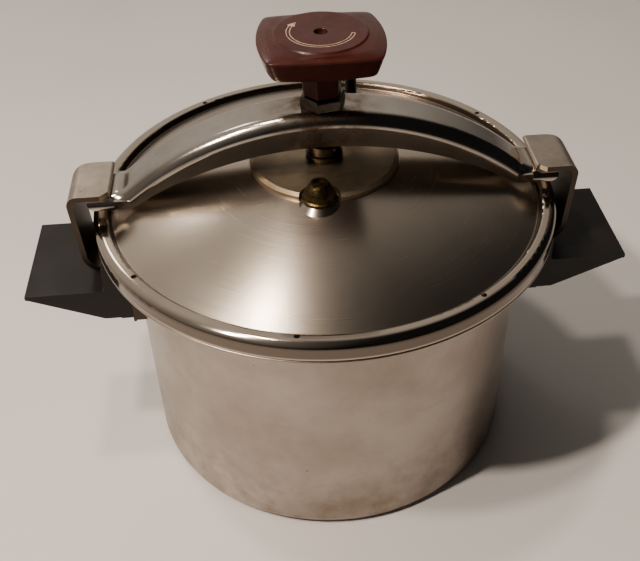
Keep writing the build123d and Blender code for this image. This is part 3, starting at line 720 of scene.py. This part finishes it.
class CANNER_OT_knob(bpy.types.Operator):
    """Build the knob with its turning arrow"""

    bl_idname = "canner.knob"
    bl_label = "Knob"

    def execute(self, context):
        sizes = context.scene.canner_knob
        half_x = sizes.length / MM / 2
        half_y = sizes.width / MM / 2
        plateau = sizes.plateau / MM
        top = KNOB_HIGH[2]
        foot = KNOB_LOW[2]
        under = top - 14.5
        rim = top - 3.2
        stem = 12.5
        stem_foot = 10.6

        def reach_of_arc(along, across, middle, bulge, half):
            """Distance to an arc that stands out by its bulge between ends that are 2 x half apart.

            Its circle's radius is (half^2 + bulge^2) / (2 x bulge), and its centre lies back on the axis.
            """
            circle = (half**2 + bulge**2) / (2 * bulge)
            centre = middle - circle
            return centre * np.abs(along) + np.sqrt(circle**2 - (centre * across) ** 2)

        def outline(angle):
            """Radius of the head's plan: the nearer of a side arc and an end arc, the corners softened
            by adding the two to the power -26."""
            x, y = np.cos(angle), np.sin(angle)
            end = reach_of_arc(x, y, half_x, 5.0, 27.6)
            side = reach_of_arc(y, x, half_y, 1.3, 28.4)
            return (end**-26 + side**-26) ** (-1 / 26)

        def hexagon(angle, across):
            """Radius of a hexagon with soft corners.

            It is the sum over the faces of (cos / across)^18, to the power -1/18.
            """
            power = 18
            faces = radians(12 + 30) + np.arange(6) * tau / 6
            reach = np.clip(np.cos(angle[..., None] - faces), 0, 1) / across
            return (reach ** power).sum(-1) ** (-1 / power)

        def shape(angle, radius, height):
            """Round near the middle, the head's plan outside, and a hexagon down the stem."""
            head = outline(angle) / half_x
            lower = np.clip((rim - height) / (rim - under), 0, 1)
            narrow = 1 - 0.03 * lower * np.sin(angle) ** 2
            spread = eased(radius, plateau, half_x - 2.0)
            on_head = radius * (1 + spread * (head * narrow - 1))
            stem_form = hexagon(angle, stem * cos(pi / 6)) / stem
            stem_share = (1 - eased(radius, stem, stem + 6)) * (height < under + 0.1) * (radius > 8)
            return np.where(height < under + 0.1, on_head * (1 + stem_share * (stem_form - 1)), on_head)

        line = rounded(
            [(7.1, foot + 2), (7.1, foot), (stem_foot, foot), (stem, under), (half_x - 3.2, under),
             (half_x, rim), (half_x - 5.0, rim + 1.75), (plateau + 0.5, rim + 2.4), (plateau - 0.3, top),
             (3.5, top), (3.3, top - 5), (0, top - 5)],
            [0.3, 0.6, 1.6, 1.7, 0.9, 6.0, 0.5, 0.6, 0.5, 0.3],
        )
        line = filled_in(line, 1.2)
        knob = surface("knob", turned(line, 240, shape), maroon_bakelite(), "screw")
        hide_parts("knob_body")
        dress(turned_steel("plated_screw_steel", "#b9b4ac", "#8e8880", 0.25), "knob_screw", "handle_screws")

        paint = cream_paint_fill()
        reach = sizes.arrow / MM
        half_gap = 0.85

        def strip(name, path, width):
            """A flat line of paint along a path of (x, y), its width given at each point.

            At each point the section is a rectangle square to the path, sunk 0.1 and standing 0.05 proud,
            and it closes to a point at both ends.
            """
            way = np.gradient(path, axis=0)
            way /= np.linalg.norm(way, axis=1)[:, None]
            out = np.stack([way[:, 1], -way[:, 0]], axis=1)
            sides = np.array([-0.5, 0.5, 0.5, -0.5])
            levels = np.array([top - 0.1, top - 0.1, top + 0.05, top + 0.05])
            flat = path[:, None] + sides[None, :, None] * np.reshape(width, (-1, 1, 1)) * out[:, None]
            height = np.broadcast_to(levels[None, :, None], (*flat.shape[:2], 1))
            points = np.concatenate([flat, height], axis=2)
            first, last = (np.repeat(end.mean(axis=0)[None, None], 4, axis=1) for end in points[[0, -1]])
            points = np.concatenate([first, points, last])
            surface(name, points, paint, "screw")

        def ring(angle, radius):
            """Points at an angle and a radius."""
            return np.stack([radius * np.cos(angle), radius * np.sin(angle)], axis=-1)

        # two lines that run round from the arrow's head and join in a half circle at its tail
        head, tail = radians(152), radians(345)
        sweep = np.linspace(head, tail, 90)
        bend = np.linspace(0, pi, 14)[1:-1, None]
        out, onward = ring(tail, 1.0), ring(tail + pi / 2, 1.0)
        cap = reach * out + half_gap * (np.cos(bend) * out + np.sin(bend) * onward)
        line = np.concatenate([ring(sweep, reach + half_gap), cap, ring(sweep[::-1], reach - half_gap)])
        strip("arrow_line", line, np.full(len(line), 0.42))
        blade = np.linspace(0, 1, 12)
        strip("arrow_head", ring(head - radians(17) * (1 - blade), reach), 0.1 + 4.2 * blade)
        return {"FINISHED"}


class CANNER_OT_relief_valve(bpy.types.Operator):
    """Build the relief valve's spring and finish its brass"""

    bl_idname = "canner.relief_valve"
    bl_label = "Relief valve"

    def execute(self, context):
        brass = aged_brass()
        dress(brass, "relief_body", "relief_screw")
        dress(turned_steel("ball_steel", "#c4c2be", "#a5a29d", 0.15), "relief_ball")
        dress(moulded_rubber("red_seal_rubber", "#6e241b", "#8a3a2e"), "relief_washer", "nozzle_washer")
        dress(turned_steel("plated_nut_steel", "#b4afa7", "#8c867d", 0.28), "relief_nut", "nozzle_nut")
        low, high = box_mm("relief_spring")
        middle = (low + high) / 2
        wire = 0.24
        coil = (high[0] - low[0]) / 2 - wire
        turns = 4.5
        along = np.linspace(0, 1, 240)
        round_wire = np.arange(10) * tau / 10
        turn = along * turns * tau
        out = np.stack([np.cos(turn), np.sin(turn), np.zeros_like(turn)], axis=-1)
        centre = middle + out * coil
        centre[:, 2] = low[2] + wire + along * (high[2] - low[2] - 2 * wire)
        up = np.array([0, 0, 1.0])
        points = (
            centre[:, None] + wire * np.cos(round_wire)[None, :, None] * out[:, None]
            + wire * np.sin(round_wire)[None, :, None] * up
        )
        spring = surface(
            "relief_coil", points, turned_steel("spring_wire_steel", "#a8a6a2", "#84817c", 0.24),
            "lid",
        )
        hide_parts("relief_spring")
        return {"FINISHED"}


class CANNER_OT_regulator(bpy.types.Operator):
    """Finish the steam nozzle and the weight that sits on it"""

    bl_idname = "canner.regulator"
    bl_label = "Regulator"

    def execute(self, context):
        dress(turned_steel("nozzle_steel", "#b3aca4", "#8a8178", 0.26), "vent_nozzle", "regulator_needle")
        dress(turned_steel("weight_steel", "#a9a29a", "#7c746b", 0.3, 0.6), "regulator_weight")
        dress(black_bakelite(), "regulator_grip")
        return {"FINISHED"}


class CANNER_OT_handles(bpy.types.Operator):
    """Finish the two handles"""

    bl_idname = "canner.handles"
    bl_label = "Handles"

    def execute(self, context):
        dress(black_bakelite(), "left_handle", "right_handle")
        return {"FINISHED"}


class CANNER_OT_stage(bpy.types.Operator):
    """Add the table, the light and the camera"""

    bl_idname = "canner.stage"
    bl_label = "Stage"

    def execute(self, context):
        setting = context.scene.canner_stage
        half = 4000.0
        corners = np.array([[[-half, -half, 0], [half, -half, 0]], [[-half, half, 0], [half, half, 0]]])
        mesh = bpy.data.meshes.new("table")
        mesh.from_pydata(corners.reshape(-1, 3) * MM, [], [(0, 1, 3, 2)])
        mesh.materials.append(table_top())
        table = bpy.data.objects.new("table", mesh)
        context.scene.collection.objects.link(table)

        world = bpy.data.worlds.new("room")
        world.use_nodes = True
        tree = world.node_tree
        tree.nodes.clear()
        look = add(tree, "ShaderNodeTexCoord", output="Generated")
        back = add(
            tree, "ShaderNodeVectorMath", {0: look, 1: (-0.42, 0.86, 0.28)},
            operation="DOT_PRODUCT", output="Value",
        )
        left = add(
            tree, "ShaderNodeVectorMath", {0: look, 1: (-0.95, 0.0, 0.3)},
            operation="DOT_PRODUCT", output="Value",
        )
        wall = add(
            tree, "ShaderNodeMapRange", {"Value": back, "From Min": 0.30, "From Max": 0.88},
            interpolation_type="SMOOTHSTEP",
        )
        glow = add(
            tree, "ShaderNodeMapRange", {"Value": left, "From Min": 0.0, "From Max": 0.9},
            interpolation_type="SMOOTHSTEP",
        )
        colour = blend(tree, glow, linear("#191a1b"), linear("#7d7872"))
        colour = blend(tree, wall, colour, linear("#cbc3b9"))
        shade = add(tree, "ShaderNodeBackground", {"Color": colour, "Strength": 1.0})
        add(tree, "ShaderNodeOutputWorld", {"Surface": shade})
        context.scene.world = world

        def lamp(name, at, aim, width, height, watts, tint):
            """A soft oval light, aimed at a point."""
            light = bpy.data.lights.new(name, "AREA")
            light.shape = "ELLIPSE"
            light.size = width
            light.size_y = height
            light.energy = watts
            light.color = tint
            held = bpy.data.objects.new(name, light)
            back = (Vector(at) - Vector(aim)).normalized()
            held.matrix_world = Matrix.Translation(at) @ back.to_track_quat("Z", "Y").to_matrix().to_4x4()
            context.scene.collection.objects.link(held)

        lamp("side_lamp", (-0.68, -0.42, 1.13), (0, 0, 0.1), 0.07, 0.07, 14.4, setting.lamp_colour)
        lamp("near_lamp", (-0.52, -0.245, 1.20), (0, 0, 0.1), 0.09, 0.09, 7.6, setting.lamp_colour)
        lamp("ceiling_lamp", (-0.42, 0.13, 1.75), (0, 0, 0.1), 0.16, 0.16, 9, setting.lamp_colour)
        lamp("window", (-0.62, 1.2, 1.25), (0, 0, 0.15), 0.3, 0.2, 1.6, setting.window_colour)

        turn, rise, tilt = setting.azimuth, setting.elevation, setting.roll
        back = Vector((sin(turn) * cos(rise), -cos(turn) * cos(rise), sin(rise)))
        right = Vector((cos(turn), sin(turn), 0))
        up = back.cross(right)
        side = cos(tilt) * right + sin(tilt) * up
        top = -sin(tilt) * right + cos(tilt) * up
        lens = bpy.data.cameras.new("camera")
        lens.sensor_width = SENSOR_MM
        lens.lens = LENS_MM
        lens.shift_x, lens.shift_y = LENS_SHIFT
        lens.clip_start = 0.01
        lens.clip_end = 20.0
        camera = bpy.data.objects.new("camera", lens)
        facing = Matrix((side, top, back)).transposed().to_4x4()
        camera.matrix_world = Matrix.Translation(setting.eye) @ facing
        context.scene.collection.objects.link(camera)
        context.scene.camera = camera
        return {"FINISHED"}


STEPS = (
    CANNER_OT_pot, CANNER_OT_lid, CANNER_OT_bar, CANNER_OT_screw, CANNER_OT_knob,
    CANNER_OT_relief_valve, CANNER_OT_regulator, CANNER_OT_handles, CANNER_OT_stage,
)


class CANNER_PT_panel(bpy.types.Panel):
    """Buttons for each group of pieces"""

    bl_idname = "CANNER_PT_panel"
    bl_label = "Pressure canner"
    bl_space_type = "VIEW_3D"
    bl_region_type = "UI"
    bl_category = "Canner"

    def draw(self, context):
        for step in STEPS:
            self.layout.operator(step.bl_idname)
        for group in ("canner_knob", "canner_screw", "canner_stage"):
            held = getattr(context.scene, group)
            for name in held.bl_rna.properties.keys():
                if name not in ("rna_type", "name"):
                    self.layout.prop(held, name)


CLASSES = (KnobSizes, ScrewSizes, StageSettings, *STEPS, CANNER_PT_panel)


def register():
    """Registers the classes and hangs the settings on the scene."""
    for kind in CLASSES:
        bpy.utils.register_class(kind)
    bpy.types.Scene.canner_knob = bpy.props.PointerProperty(type=KnobSizes)
    bpy.types.Scene.canner_screw = bpy.props.PointerProperty(type=ScrewSizes)
    bpy.types.Scene.canner_stage = bpy.props.PointerProperty(type=StageSettings)


def unregister():
    """Takes the settings and classes away again."""
    del bpy.types.Scene.canner_stage
    del bpy.types.Scene.canner_screw
    del bpy.types.Scene.canner_knob
    for kind in reversed(CLASSES):
        bpy.utils.unregister_class(kind)


def main():
    """Builds everything in order."""
    register()
    for step in STEPS:
        group, name = step.bl_idname.split(".")
        getattr(getattr(bpy.ops, group), name)()


if __name__ == "__main__":
    main()
